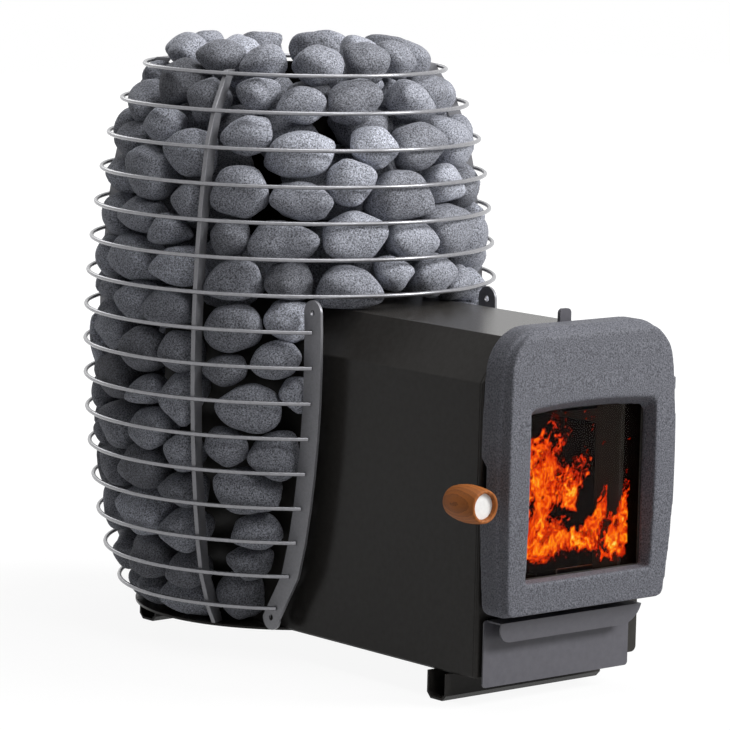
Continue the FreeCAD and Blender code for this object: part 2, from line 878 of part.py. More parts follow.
def knob_cap():
    floor = knob_length - knob_recess_depth
    radius = knob_recess / 2 - slip
    turns = [math.radians(360 * side / knob_sides) for side in range(knob_sides)]
    points = [Vector(radius * math.sin(turn), -radius * math.cos(turn), floor) for turn in turns]
    return on_stud(prism(points, Vector(0, 0, cap_thickness)))


# The ash drawer slides on the floor of the tunnel.
front_back = plate_face + front_gap
front_face = front_back + front_sheet


def tray():
    low = box_floor + slip
    outer = wide_box(tray_width, -front_back, tray_length - front_back, low, low + tray_height)
    inside = tray_width - 2 * tray_wall
    back = tray_length - front_back - tray_wall
    return outer.cut(wide_box(inside, tray_wall - front_back, back, low + tray_wall, low + tray_height))


def drawer_front():
    depth = Vector(0, 1, 0)
    panel = wide_box(front_width, -front_face, -front_back, front_low, front_high)
    panel = rounded(panel, front_corner, lambda edge, at: lies_along(edge, depth))
    tip = -front_face - lip_reach
    fold = front_high - front_sheet
    toe = front_high - lip_fall
    half = lip_width / 2
    section = [Vector(-half, -front_face, front_high), Vector(-half, tip, front_high),
               Vector(-half, tip + lip_slope, toe), Vector(-half, tip + lip_slope + front_sheet, toe),
               Vector(-half, tip + front_sheet * 1.2, fold), Vector(-half, -front_face, fold)]
    lip = prism(section, Vector(lip_width, 0, 0))
    shape = wide_box(lip_width, tip - 1, -front_face, toe, front_high)
    shape = rounded(shape, lip_corner, lambda edge, at: lies_along(edge, depth) and at.z < toe + 1)
    return panel.fuse(lip.common(shape)).removeSplitter()


# Stones fill the cage. Each one grows from its own centre until it meets its size,
# the half-way plane to a neighbour, or the metal round it.
def stone_limit(height):
    return min(inside_radius(height - wire_size), inside_radius(height + wire_size)) - stone_gap


def wall_planes(centre):
    """Half-spaces that keep a stone clear of the firebox, flue, bars and end plates."""
    planes = []
    turn = math.hypot(box_bevel_width, box_bevel_height)
    side = 1 if centre.x > 0 else -1
    bevel = Vector(side * box_bevel_height / turn, 0, box_bevel_width / turn)
    knee = Vector(side * box_half, 0, box_top - box_bevel_height)
    walls = [(Vector(side, 0, 0), Vector(side * box_half, 0, 0)), (bevel, knee),
             (Vector(0, 1, 0), Vector(0, box_setback, 0)), (Vector(0, 0, 1), Vector(0, 0, box_top))]
    clear = max((((centre - point).dot(normal), index) for index, (normal, point) in enumerate(walls)))
    normal, point = walls[clear[1]]
    planes.append((normal * -1, point + normal * stone_gap))
    out = Vector(centre.x, centre.y, 0)
    out.normalize()
    flue = flue_bore / 2 + flue_wall + stone_gap
    planes.append((out * -1, out * flue))
    planes.append((Vector(0, 0, -1), Vector(0, 0, base_top + stone_gap)))
    for bar in bar_sides:
        angle = math.radians(bar * 360 / ring_sides)
        across = Vector(math.cos(angle), math.sin(angle), 0)
        along = Vector(math.sin(angle), -math.cos(angle), 0)
        offset = centre.dot(across)
        bar_inside = inside_radius(centre.z) - bar_width
        if centre.dot(along) > bar_inside - stone_depth / 2 and abs(offset) < stone_width:
            way = 1 if offset > 0 else -1
            planes.append((across * -way, across * (way * (bar_thickness / 2 + stone_gap))))
    if centre.z < end_plate_high + stone_width and centre.y < 0:
        level = min(max(centre.z, end_plate_low), end_plate_high)
        below = max(level - stone_rise, base_top)
        back = max(plate_line(below), plate_line(level + stone_rise)) + end_plate_width / 2
        if abs(centre.x) > box_half:
            planes.append((Vector(0, -1, 0), Vector(0, back + stone_gap, 0)))
        else:
            face = end_plate_face - end_plate_thickness - stone_gap
            planes.append((Vector(side, 0, 0), Vector(side * face, 0, 0)))
    return planes


def has_room(centre, room):
    """True when a stone's centre stands clear of the metal by the given room."""
    return all((point - centre).dot(normal) > room for normal, point in wall_planes(centre))


def stone_bays(height, radius):
    """Spans of angle between the bars, and between a bar and an end plate beside the tunnel."""
    edges = [math.radians(bar * 360 / ring_sides) for bar in bar_sides]
    bays = [(edges[0], edges[1]), (edges[2], edges[3]), (edges[3], edges[0] + 2 * math.pi)]
    if height > box_top:
        return bays + [(edges[1], edges[2])]
    plate_back = plate_line(max(height, base_top)) + end_plate_width / 2
    beside = max(math.acos(-plate_back / radius), math.asin((box_half + stone_room) / radius))
    return bays + [(edges[1], -beside), (beside, edges[2])]


def row_of_stones(rng, height, depth, bays, scale):
    """Stones spread along each bay at a depth in the cage: the centre, scale and depth of each."""
    row = []
    radius = stone_limit(height) - depth
    variety = stone_variety if scale == 1 else 0
    for start, end in bays:
        count = max(round((end - start) * radius / (stone_width * scale) + rng.uniform(-0.55, 0.55)), 1)
        for step in range(count):
            angle = start + (end - start) * (step + 0.5 + rng.uniform(-0.2, 0.2)) / count
            z = height + rng.uniform(-0.4, 0.4) * stone_rise * scale
            place = Vector(radius * math.sin(angle), -radius * math.cos(angle), z)
            row.append((place, scale * rng.uniform(1 - variety, 1 + variety), depth))
    return row


def held(centre, scale, depth):
    """The centre moved to its depth in the cage, between base plate and heap top, clear of metal."""
    rise = stone_rise * min(scale, 1) / 2
    z = min(max(centre.z, base_top + rise), heap_top - rise)
    out = Vector(centre.x, centre.y, 0)
    out.normalize()
    place = out * (stone_limit(z) - depth) + Vector(0, 0, z)
    for normal, point in wall_planes(place):
        lack = stone_room * min(scale, 1) * 1.3 - (point - place).dot(normal)
        if lack > 0:
            place = place - normal * lack
    return place


def settle(seeds):
    """Push crowded stones apart, turn by turn, so that the large and the small fill the cage evenly."""
    flat = stone_width / stone_rise
    places = [centre for centre, scale, depth in seeds]
    for turn in range(settle_turns):
        for index, (start, scale, depth) in enumerate(seeds):
            push = Vector(0, 0, 0)
            for other, place in enumerate(places):
                apart = places[index] - place
                apart.z *= flat
                wanted = stone_width * (scale + seeds[other][1]) / 2
                if other != index and 0 < apart.Length < wanted:
                    push += apart * ((wanted - apart.Length) / apart.Length / 4)
            push.z /= flat
            places[index] = held(places[index] + push, scale, depth)
    return places


def grow_seeds():
    """Centres of the stones with the scale that each may grow to."""
    rng = random.Random(stone_seed)
    seeds = []
    level = base_top + stone_rise / 2
    rows = int((heap_top - level) / stone_rise)
    rise = (heap_top - stone_rise / 2 - level) / rows
    for row in range(rows + 1):
        height = level + row * rise
        depth = stone_depth / 2
        seeds += row_of_stones(rng, height, depth, stone_bays(height, stone_limit(height) - depth), 1)
        scale = 1 if row > rows - heap_rows else fill_scale
        if scale > 1 and row % 2 == 1:
            continue
        depth += stone_depth * scale
        while stone_limit(height) - depth > stone_width / 3:
            turn = rng.uniform(0, math.pi)
            seeds += row_of_stones(rng, height, depth, [(turn, turn + 2 * math.pi)], scale)
            depth += stone_depth * scale
    seeds = [seed for seed in seeds if has_room(seed[0], 0)]
    scales = [scale for start, scale, depth in seeds]
    return [(place, scale) for place, scale in zip(settle(seeds), scales) if has_room(place, stone_room / 2)]


def stone_rays(rng, centre):
    """Directions spread round the stone, with its own tilt, and its size along each."""
    out = Vector(centre.x, centre.y, 0)
    out.normalize()
    across = Vector(-out.y, out.x, 0)
    tilt = math.radians(rng.uniform(-28, 28))
    long_axis = across * math.cos(tilt) + Vector(0, 0, math.sin(tilt))
    short_axis = across * -math.sin(tilt) + Vector(0, 0, math.cos(tilt))
    half = [size * rng.uniform(1 - stone_spread, 1 + stone_spread) for size in stone_cap]
    local = [Vector(0, 0, 1)]
    for ring, lift in ((0.0, 1), (0.5, -1)):
        for step in range(stone_sides):
            angle = 2 * math.pi * (step + ring) / stone_sides
            local.append(Vector(2 * math.cos(angle), 2 * math.sin(angle), lift) * (1 / math.sqrt(5)))
    local.append(Vector(0, 0, -1))
    rays = []
    for ray in local:
        size = 1 / math.sqrt((ray.x / half[0]) ** 2 + (ray.z / half[1]) ** 2 + (ray.y / half[2]) ** 2)
        rays.append((long_axis * ray.x + short_axis * ray.y + out * ray.z, size))
    return rays


def outer_loop(corners, normal):
    """The corners of a flat face that lie on its outline, in order."""
    middle = sum(corners, Vector(0, 0, 0)) * (1 / len(corners))
    across = corners[0] - middle
    across.normalize()
    along = normal.cross(across)
    flat = sorted(((point - middle).dot(across), (point - middle).dot(along), index)
                  for index, point in enumerate(corners))
    loop = []
    for side in (flat, flat[::-1]):
        chain = []
        for u, v, index in side:
            while len(chain) > 1:
                (u0, v0, first), (u1, v1, second) = chain[-2:]
                if (u1 - u0) * (v - v0) - (v1 - v0) * (u - u0) > stone_gap:
                    break
                chain.pop()
            chain.append((u, v, index))
        loop += chain[:-1]
    return [corners[index] for u, v, index in loop]


def hull(points):
    """The smallest convex solid round the points."""
    faces = {}
    for corner, near, far in itertools.combinations(points, 3):
        normal = (near - corner).cross(far - corner)
        if normal.Length < stone_gap:
            continue
        normal.normalize()
        sides = [(point - corner).dot(normal) for point in points]
        if max(sides) > flatness and min(sides) < -flatness:
            continue
        if max(sides) > flatness:
            normal = normal * -1
        flat = tuple(index for index, side in enumerate(sides) if abs(side) <= flatness)
        faces[flat] = normal
    loops = [outer_loop([points[index] for index in flat], normal) for flat, normal in faces.items()]
    return polyhedron(loops)


def half_way(seeds, index, other):
    """The plane between two stones, each with a share for its size: its normal and a point on it."""
    centre, scale = seeds[index]
    place, size = seeds[other]
    between = place - centre
    normal = Vector(between.x, between.y, between.z * (stone_width / stone_rise) ** 2)
    normal.normalize()
    return normal, centre + between * (scale / (scale + size)) - normal * (stone_gap / 2)


def stone_planes(seeds, index):
    """All half-spaces that a stone may fill, between its neighbours and the metal."""
    centre, scale = seeds[index]
    planes = wall_planes(centre)
    for other, (place, size) in enumerate(seeds):
        if other != index and (place - centre).Length < stone_outlook * stone_width * max(scale, size):
            planes.append(half_way(seeds, index, other))
    return planes


def holds(planes, point):
    return all((corner - point).dot(normal) > -2 * stone_gap for normal, corner in planes)


def resting_places(seeds, planes):
    """For each stone, the stones it touches: the nearest lower one that it can reach, and those on top."""
    flat = stone_width / stone_rise
    touching = [[] for seed in seeds]
    for index, (centre, scale) in enumerate(seeds):
        lower = []
        for other, (place, size) in enumerate(seeds):
            drop = centre - place
            if drop.z > 0:
                drop.z *= flat
                lower.append((drop.Length / (scale + size), other))
        for nearness, other in sorted(lower):
            meeting = half_way(seeds, index, other)[1]
            if holds(planes[index], meeting) and holds(planes[other], meeting):
                touching[index].append(other)
                touching[other].append(index)
                break
    return touching


def stone(rng, centre, scale, planes, touching):
    """One stone, grown along its rays and towards the centres of the stones that it touches."""
    rays = stone_rays(rng, centre)
    for place in touching:
        toward = place - centre
        reach = toward.Length
        rays.append((toward * (1 / reach), reach))
    if centre.z - base_top < stone_rise * scale:
        rays.append((Vector(0, 0, -1), stone_rise))
    tips = []
    for ray, size in rays:
        length = size * scale
        for normal, point in planes:
            toward = ray.dot(normal)
            if toward > flatness:
                length = min(length, (point - centre).dot(normal) / toward)
        tip = centre + ray * length
        while math.hypot(tip.x, tip.y) > stone_limit(tip.z) or tip.z > heap_top:
            length *= 0.96
            tip = centre + ray * length
        tips.append(tip)
    return hull(tips)


stone_nodes = ("stones_bottom", "stones_lower", "stones_belly", "stones_shoulder", "stones_crown")


def stone_layers():
    """All stones, sorted into five layers from the floor of the cage to the heap."""
    seeds = grow_seeds()
    rng = random.Random(stone_seed)
    planes = [stone_planes(seeds, index) for index in range(len(seeds))]
    touching = resting_places(seeds, planes)
    layers = [[] for name in stone_nodes]
    for index, (centre, scale) in enumerate(seeds):
        share = (centre.z - base_top) / (heap_top - base_top)
        layer = min(int(share * len(layers)), len(layers) - 1)
        places = [seeds[other][0] for other in touching[index]]
        layers[layer].append(stone(rng, centre, scale, planes[index], places))
    return layers


os.makedirs("parts", exist_ok=True)

save("foot_front", foot(-front_foot_reach))
save("foot_rear", foot(rear_foot_setback))
save("base_plate", base_plate())

for number, height in enumerate(ring_heights):
    ring = open_ring(height) if number < open_rings else wire_ring(height)
    save("cage_ring_%02d" % (number + 1), ring)
bar_names = ("cage_bar_rear_left", "cage_bar_left", "cage_bar_right", "cage_bar_rear_right")
for name, side in zip(bar_names, bar_sides):
    save(name, upright_bar(side))
save("end_plate_left", end_plate(-1))
save("end_plate_right", end_plate(1))

save("firebox_shell", firebox_shell())
save("firebox_back_wall", firebox_back_wall())
save("flue_tube", flue_tube())
save("bed_rails", bed_rail_bar(-1), bed_rail_bar(1))
save("bed_plate", bed_plate())
save("grate", grate())
save("firebrick_left", side_brick(-1))
save("firebrick_right", side_brick(1))
save("firebrick_back", back_brick())
save("baffle", baffle())
save("front_plate", front_plate())
save("door_seat", door_seat())
save("air_slide", air_slide())
save("slide_guides", *slide_guides())

save("door_casting", door_casting())
save("glass_gasket", glazing(glass_margin, window_back, gasket_thickness))
save("door_glass", glazing(0, window_back - gasket_thickness, glass_thickness))
save("glass_clips", *[clip(x, z, way) for x, z, way in clip_places()])
save("clip_screws", *[clip_screw_solid(x, z) for x, z, way in clip_places()])
save("door_rope", rope_seal())
save("hinge_brackets", *[hinge_bracket(low) for low in hinge_lows])
save("hinge_pins", *[hinge_pin_solid(low) for low in hinge_lows])

save("latch_lever", latch_lever())
save("latch_pivot_bolt", latch_pivot_bolt())
save("latch_keeper", latch_keeper())
save("knob", knob())
save("knob_cap", knob_cap())

save("ash_tray", tray())
save("ash_drawer_front", drawer_front())

for name, layer in zip(stone_nodes, stone_layers()):
    save(name, *layer)
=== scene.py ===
# %% [markdown]
# # A wood-burning sauna heater
#
# A barrel cage of wire rings holds basalt stones round the back of a long steel firebox.
# The fire is fed through a glazed cast-iron door at the front, and the ash falls in a drawer below it.
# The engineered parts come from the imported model, in metres, with +Z up and the door facing -Y.
# This lesson dresses them with finishes and rebuilds the parts whose form is softer than a machined one:
# the stones, the round wires, the turned knob and the fire.

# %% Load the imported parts
import math

import bmesh
import bpy
from mathutils import Matrix, Vector, noise


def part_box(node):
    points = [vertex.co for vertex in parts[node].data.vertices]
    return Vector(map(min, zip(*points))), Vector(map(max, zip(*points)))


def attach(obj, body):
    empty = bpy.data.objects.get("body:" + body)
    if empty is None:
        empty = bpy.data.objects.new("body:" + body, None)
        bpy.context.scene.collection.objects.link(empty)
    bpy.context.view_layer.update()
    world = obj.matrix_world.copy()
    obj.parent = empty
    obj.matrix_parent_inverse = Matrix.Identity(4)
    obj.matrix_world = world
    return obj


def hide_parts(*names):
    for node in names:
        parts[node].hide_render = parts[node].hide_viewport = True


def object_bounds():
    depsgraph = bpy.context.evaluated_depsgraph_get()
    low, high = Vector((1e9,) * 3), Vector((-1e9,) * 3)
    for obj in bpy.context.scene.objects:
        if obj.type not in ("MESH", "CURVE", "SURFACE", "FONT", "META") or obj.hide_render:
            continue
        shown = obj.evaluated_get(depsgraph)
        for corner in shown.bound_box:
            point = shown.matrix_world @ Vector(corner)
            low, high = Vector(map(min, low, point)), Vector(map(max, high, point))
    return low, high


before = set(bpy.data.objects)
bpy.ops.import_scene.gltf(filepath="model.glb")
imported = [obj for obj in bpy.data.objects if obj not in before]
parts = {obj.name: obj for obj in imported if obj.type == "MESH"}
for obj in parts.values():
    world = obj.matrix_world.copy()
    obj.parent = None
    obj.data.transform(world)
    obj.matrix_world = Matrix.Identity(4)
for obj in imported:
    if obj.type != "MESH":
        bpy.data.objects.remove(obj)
cad_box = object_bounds()
mm = 0.001
print("parts loaded:", len(parts), "box:", [tuple(round(side, 3) for side in corner) for corner in cad_box])

# %% [markdown]
# ## The camera
#
# The picture was taken from the knob side with a long lens, a little above the heater.
# A camera can be placed by eye, but then every edge is a little off. This view was solved from points
# on the cage, the tunnel and the door, so the angles, the distance and the lens below are that answer.
# A long lens far away keeps the tunnel's edges nearly parallel.
# The picture leans by about one degree, so the camera is rolled by as much.

# %% Camera
def show(name, data):
    """Put a mesh, a curve, a lamp or a camera in the scene as an object."""
    made = bpy.data.objects.new(name, data)
    bpy.context.scene.collection.objects.link(made)
    return made


flue_low, flue_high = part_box("flue_tube")
cage_axis = (flue_low + flue_high) / 2
azimuth = math.radians(-40.386)
elevation = math.radians(7.987)
roll = math.radians(1.2794)
distance = 5.4719
aim_height = 0.35813
aim_aside = 0.10122

level_part = math.cos(elevation)
backward = Vector((math.sin(azimuth) * level_part, -math.cos(azimuth) * level_part, math.sin(elevation)))
rightward = Vector((math.cos(azimuth), math.sin(azimuth), 0))
upward = backward.cross(rightward)
aim = Vector((cage_axis.x, cage_axis.y, aim_height)) + rightward * aim_aside

lens = bpy.data.cameras.new("long_lens")
lens.lens = 201.0
lens.sensor_width = 36.0
lens.clip_end = 60.0
camera = show("camera", lens)
turn = Matrix((rightward, upward, backward)).transposed().to_4x4()
camera.matrix_world = Matrix.Translation(aim + backward * distance) @ turn @ Matrix.Rotation(roll, 4, "Z")
bpy.context.scene.camera = camera
print("camera", round(distance, 2), "m from the aim, lens", lens.lens, "mm")

# %% [markdown]
# ## Colour and shader nodes
#
# Colours are written as the eye sees them, in sRGB, and one function turns them into the linear values
# that light adds up in. One more function adds a shader node, sets its values and links it,
# so each finish below reads as a short recipe.

# %% Helpers for materials
def linear(code):
    """A colour written as six hex digits, as linear red, green and blue with full cover."""
    channels = [int(code[at:at + 2], 16) / 255 for at in (1, 3, 5)]
    return [c / 12.92 if c <= 0.04045 else ((c + 0.055) / 1.055) ** 2.4 for c in channels] + [1.0]


def add(tree, kind, inputs=(), **settings):
    """Add a shader node. Each input is a value, or the socket of another node to link."""
    made = tree.nodes.new("ShaderNode" + kind)
    for name, value in settings.items():
        setattr(made, name, value)
    for name, value in dict(inputs).items():
        if isinstance(value, bpy.types.NodeSocket):
            tree.links.new(value, made.inputs[name])
        else:
            made.inputs[name].default_value = value
    return made


def blank(name):
    """A new material with no nodes yet, and its node tree."""
    made = bpy.data.materials.new(name)
    made.use_nodes = True
    made.node_tree.nodes.clear()
    return made, made.node_tree


bpy.context.scene.view_settings.view_transform = "Standard"
print("mid grey is", round(linear("#808080")[0], 3), "in linear light")

# %% [markdown]
# ## The studio
#
# The heater stands on white paper in front of white. Strong lamps would make a grey floor white too,
# but they would bleach the heater. So the paper is partly lit by itself, as a light table is:
# it stays white, and only the soft shadow under the heater is left on it.

# %% Floor
def seen_directly(tree):
    """One where the camera, a reflection or glass looks, and zero where light only bounces."""
    path = add(tree, "LightPath").outputs
    seen = add(tree, "Math", {0: path["Is Camera Ray"], 1: path["Is Glossy Ray"]}, operation="MAXIMUM")
    through = {0: seen.outputs[0], 1: path["Is Transmission Ray"]}
    return add(tree, "Math", through, operation="MAXIMUM").outputs[0]


paper_half = 9.0
paper_drop = 0.5 * mm
mesh = bpy.data.meshes.new("paper")
sheet = bmesh.new()
bmesh.ops.create_grid(sheet, x_segments=2, y_segments=2, size=paper_half)
sheet.to_mesh(mesh)
sheet.free()
floor = show("floor", mesh)
floor.location.z = cad_box[0].z - paper_drop

# Paper is pressed from matt fibres: white with no shine, and clouded where the fibres lie thicker.
# A pattern with no coordinates linked counts in shares of the object's box, here the side of the sheet.
paper, tree = blank("white_paper")
cloud = 60 * mm
fibre = add(tree, "TexNoise", {"Scale": 2 * paper_half / cloud, "Detail": 2.0})
whites = {0: fibre.outputs["Fac"], 6: linear("#b8b8b8"), 7: linear("#c2c2c2")}
tone = add(tree, "Mix", whites, data_type="RGBA")
lit = add(tree, "BsdfDiffuse", {"Color": tone.outputs[2]})
glow = add(tree, "Emission", {"Color": linear("#ffffff"), "Strength": 1.15})
# Near the heater the paper gives less light of its own, so that the shadow shows there.
# The change runs between these distances from the middle of the sheet.
near, far = 0.6, 1.6
away = add(tree, "VectorMath", {0: add(tree, "TexCoord").outputs["Object"]}, operation="LENGTH")
own_light = add(tree, "MapRange", {
    "Value": away.outputs["Value"], "From Min": near, "From Max": far, "To Min": 0.8, "To Max": 1.0})
share = add(tree, "Math", {0: seen_directly(tree), 1: own_light.outputs[0]}, operation="MULTIPLY")
both = add(tree, "MixShader", {0: share.outputs[0], 1: lit.outputs[0], 2: glow.outputs[0]})
add(tree, "OutputMaterial", {"Surface": both.outputs[0]})
mesh.materials.append(paper)
print("floor at", round(floor.location.z, 4))

# %% [markdown]
# The white world is what the camera, reflections and glass see. If it lit the heater as strongly as it looks,
# the dark paint would turn grey, so the light that it gives is a lower, plain level.

# %% Surroundings
world = bpy.data.worlds.new("white_studio")
world.use_nodes = True
bpy.context.scene.world = world
tree = world.node_tree
tree.nodes.clear()
air = add(tree, "Background", {"Color": linear("#ffffff"), "Strength": 0.04})
white = add(tree, "Background", {"Color": linear("#ffffff"), "Strength": 1.0})
mixed = add(tree, "MixShader", {0: seen_directly(tree), 1: air.outputs[0], 2: white.outputs[0]})
add(tree, "OutputWorld", {"Surface": mixed.outputs[0]})
print("surroundings:", world.name)

# %% [markdown]
# ## The light
#
# The door is the brightest side and the tunnel's near side is the darkest, so the main light stands
# in front of the door, high and to its right. A broad light above shapes the stones.
# A weak one in front opens the stones left of the tunnel, and only grazes the tunnel's side.
# Another behind keeps the back of the cage from going black.
# A sun would give hard shadows, so all four are square area lamps, which are soft like studio boxes.

# %% Lamps
def soft_lamp(name, place, size, power, target):
    """A square lamp turned to a target. Place and size are in metres, power is in watts."""
    made = bpy.data.lights.new(name, "AREA")
    made.shape = "SQUARE"
    made.size = size
    made.energy = power
    lamp = show(name, made)
    lamp.location = place
    lamp.rotation_mode = "QUATERNION"
    lamp.rotation_quaternion = (Vector(target) - Vector(place)).to_track_quat("-Z", "Y")
    return lamp


middle = (cad_box[0] + cad_box[1]) / 2
lamps = [
    soft_lamp("main_light", (2.1, -3.1, 2.4), 1.4, 160, middle),
    soft_lamp("top_light", (0.0, -0.4, 3.2), 1.8, 45, middle),
    soft_lamp("front_light", (-0.3, -3.7, 2.9), 1.2, 34, middle),
    soft_lamp("back_light", (0.6, 3.8, 2.2), 1.6, 18, middle),
]
print("lamps:", [(lamp.name, lamp.data.energy) for lamp in lamps])

# %% [markdown]
# ## Finishes
#
# Each finish could have its own node tree, but most here are one recipe: a colour that drifts
# between two tones in spots of a real size, and a relief of fine grain.
# The first are the paint on the sheet steel and the rough skin of the cast iron.
# A grain of moulding sand is a third of a millimetre, finer than a pixel of the picture,
# so the print of the sand on the iron is drawn several times coarser than it is.

# %% Paint and iron
def mottled(name, tones, spot, roughness, grain, depth, metallic=0.0, shine=0.5):
    """Spot and grain are sizes across in mm, and depth is the height of the relief in mm."""
    made, tree = blank(name)
    place = add(tree, "TexCoord").outputs["Object"]
    spots = add(tree, "TexNoise", {"Vector": place, "Scale": 1000 / spot, "Detail": 3.0, "Roughness": 0.6})
    level = add(tree, "MapRange", {"Value": spots.outputs["Fac"], "From Min": 0.3, "From Max": 0.7})
    drift = {0: level.outputs[0], 6: linear(tones[0]), 7: linear(tones[1])}
    colour = add(tree, "Mix", drift, data_type="RGBA")
    grains = add(tree, "TexNoise", {"Vector": place, "Scale": 1000 / grain, "Detail": 2.0})
    relief = add(tree, "Bump", {"Height": grains.outputs["Fac"], "Distance": depth / 1000})
    shader = add(tree, "BsdfPrincipled", {
        "Base Color": colour.outputs[2], "Roughness": roughness, "Metallic": metallic,
        "Specular IOR Level": shine, "Normal": relief.outputs[0]})
    add(tree, "OutputMaterial", {"Surface": shader.outputs[0]})
    return made


# Heat-proof paint is sprayed on thin and baked: an even film, nearly black, with a weak shine.
painted = mottled("black_stove_paint", ("#373533", "#3d3b39"), spot=9.0, roughness=0.24,
                  grain=0.8, depth=0.004, shine=0.1)
# The drawer and the lever have a grey coat that scatters more, so their bends show as soft bands.
# Its tones are lighter than the coat itself: painted light for the front lamp that these faces catch.
grey_and_front_lit_paint = mottled("grey_paint_with_painted_light", ("#57565c", "#5e5d63"), spot=9.0, roughness=0.4,
                       grain=0.8, depth=0.01, shine=0.3)
# Iron cast in sand keeps the print of the grains: a matt crust of light and dark specks.
cast_iron = mottled("sand_cast_iron", ("#34353a", "#7b7c84"), spot=1.9, roughness=0.6,
                    grain=1.9, depth=0.7, shine=0.2)
print("paint and iron:", [made.name for made in (painted, grey_and_front_lit_paint, cast_iron)])

# %% [markdown]
# The cage and the small fittings are steel without paint. All of it could be the same bright metal,
# but wire and plate have a satin skin that mirrors part of the light and scatters the rest,
# so they are given only part of a metal's look. Turned steel is given all of it.

# %% Bare steel
# Wire is pulled through a die, which leaves it satin, with a bright line along its round side.
drawn_wire = mottled("drawn_steel_wire", ("#86868a", "#98989c"), spot=4.0, roughness=0.26,
                     grain=0.9, depth=0.01, metallic=0.6)
# Plate comes from the rolls with a dull grey skin, which blurs all that it mirrors.
cut_plate = mottled("rolled_steel_plate", ("#7a7a7e", "#858589"), spot=3.0, roughness=0.42,
                    grain=0.8, depth=0.01, metallic=0.4)
# Pins, screws and the latch are machined and left bare: clean metal with a soft mirror.
bare_steel = mottled("turned_steel", ("#7d7d80", "#98989a"), spot=5.0, roughness=0.38,
                     grain=0.7, depth=0.02, metallic=1.0)
print("steel:", [made.name for made in (drawn_wire, cut_plate, bare_steel)])

# %% [markdown]
# What is left is the inside of the firebox, the seals and the cap of the knob.
# Clean brick and steel could be used inside, but a stove that burns is sooted there, so both are sooted and
# darkened further as painted shade.

# %% Soot, rope and enamel
# Soot settles on brick and steel as a fine powder: hardly a colour, and no shine at all.
# Both tones are darker still than soot: painted shade for the dim inside of the stove.
brick_soot_and_shade = mottled("firebrick_soot_and_shade", ("#050404", "#0e0b0a"), spot=18.0, roughness=0.9,
                       grain=1.5, depth=0.4, shine=0.0)
steel_soot_and_shade = mottled("steel_soot_and_shade", ("#0b0a0a", "#151312"), spot=14.0, roughness=0.85,
                       grain=1.2, depth=0.1, shine=0.0)
# Rope is woven from glass yarn: a dull dark grey, with a lighter fleck for each yarn.
rope = mottled("woven_glass_rope", ("#262523", "#403e3a"), spot=2.5, roughness=0.9,
               grain=1.6, depth=0.6, shine=0.3)
# Enamel is glass melted onto metal: smooth and white, with a soft gloss.
enamel = mottled("white_enamel", ("#e6e6e4", "#f0f0ee"), spot=6.0, roughness=0.4, grain=1.0, depth=0.01)
print("inside and seals:", [made.name for made in (brick_soot_and_shade, steel_soot_and_shade, rope, enamel)])

# %% [markdown]
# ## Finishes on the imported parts
#
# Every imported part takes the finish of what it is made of. The edges of bent and cut parts are eased
# with a small bevel, which is what lets a real edge catch the light. The bevel could be modelled,
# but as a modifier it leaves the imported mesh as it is.
# The triangles of a flat face are joined first, so that the bevel runs true.

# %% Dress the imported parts
weld_gap = 0.02 * mm
flat_angle = math.radians(1)
sharp_angle = math.radians(28)


def dress(names, finish, ease=0.0):
    """Give the parts a finish, and ease their sharp edges by a radius in mm."""
    for name in names:
        part = parts[name]
        part.data.materials.clear()
        part.data.materials.append(finish)
        if ease:
            weld = part.modifiers.new("joined", "WELD")
            weld.merge_threshold = weld_gap
            flat = part.modifiers.new("flat_faces", "DECIMATE")
            flat.decimate_type = "DISSOLVE"
            flat.angle_limit = flat_angle
            bevel = part.modifiers.new("eased_edges", "BEVEL")
            bevel.width = ease * mm
            bevel.segments = 3
            bevel.limit_method = "ANGLE"
            bevel.angle_limit = sharp_angle
            bevel.harden_normals = True


dress(["firebox_shell", "front_plate"], painted, 1.5)
dress(["ash_drawer_front", "air_slide"], grey_and_front_lit_paint, 0.6)
dress(["foot_front", "foot_rear", "base_plate", "slide_guides", "hinge_brackets", "latch_keeper"], painted)
dress(["firebox_back_wall", "flue_tube", "bed_rails", "bed_plate", "baffle", "ash_tray"], steel_soot_and_shade)
dress(["door_seat", "grate"], steel_soot_and_shade)
dress(["firebrick_left", "firebrick_right", "firebrick_back"], brick_soot_and_shade)
dress(["glass_gasket", "door_rope"], rope)
dress(["glass_clips", "clip_screws", "hinge_pins", "latch_lever", "latch_pivot_bolt"], bare_steel)
dress([name for name in parts if name.startswith(("cage_bar", "end_plate"))], cut_plate, 0.8)
dress(["knob_cap"], enamel, 0.4)
print("dressed:", sum(1 for part in parts.values() if part.data.materials))

# %% [markdown]
# ## The cast door
#
# The door is iron poured into a mould of sand. Sand can't hold a sharp edge, so every edge comes out round,
# and a corner where edges meet comes out rounder. A bevel gives each edge the same radius
# and tears where small faces crowd together. Instead the whole skin is divided into even cells
# and smoothed a few times, which rounds every edge as the sand does.

# %% Door skin
dress(["door_casting"], cast_iron)
door = parts["door_casting"]
skin = door.modifiers.new("even_skin", "REMESH")
skin.mode = "VOXEL"
skin.voxel_size = 2 * mm
skin.use_smooth_shade = True
softened = door.modifiers.new("rounded_by_sand", "SMOOTH")
softened.factor = 0.5
softened.iterations = 7
print("door skin in cells of", round(skin.voxel_size / mm, 1), "mm")

# %% [markdown]
# ## Door glass
#
# Stove glass is a clear glass ceramic, rolled flat and smooth. What is seen in it is mostly the dark firebox.
# It could be left out, but then the window has no gloss at all. Its index of refraction is set to 1.1,
# lower than the real 1.5, because the window in the picture mirrors almost nothing of the white room.

# %% Glass
glass_low, glass_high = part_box("door_glass")
pane = glass_high - glass_low
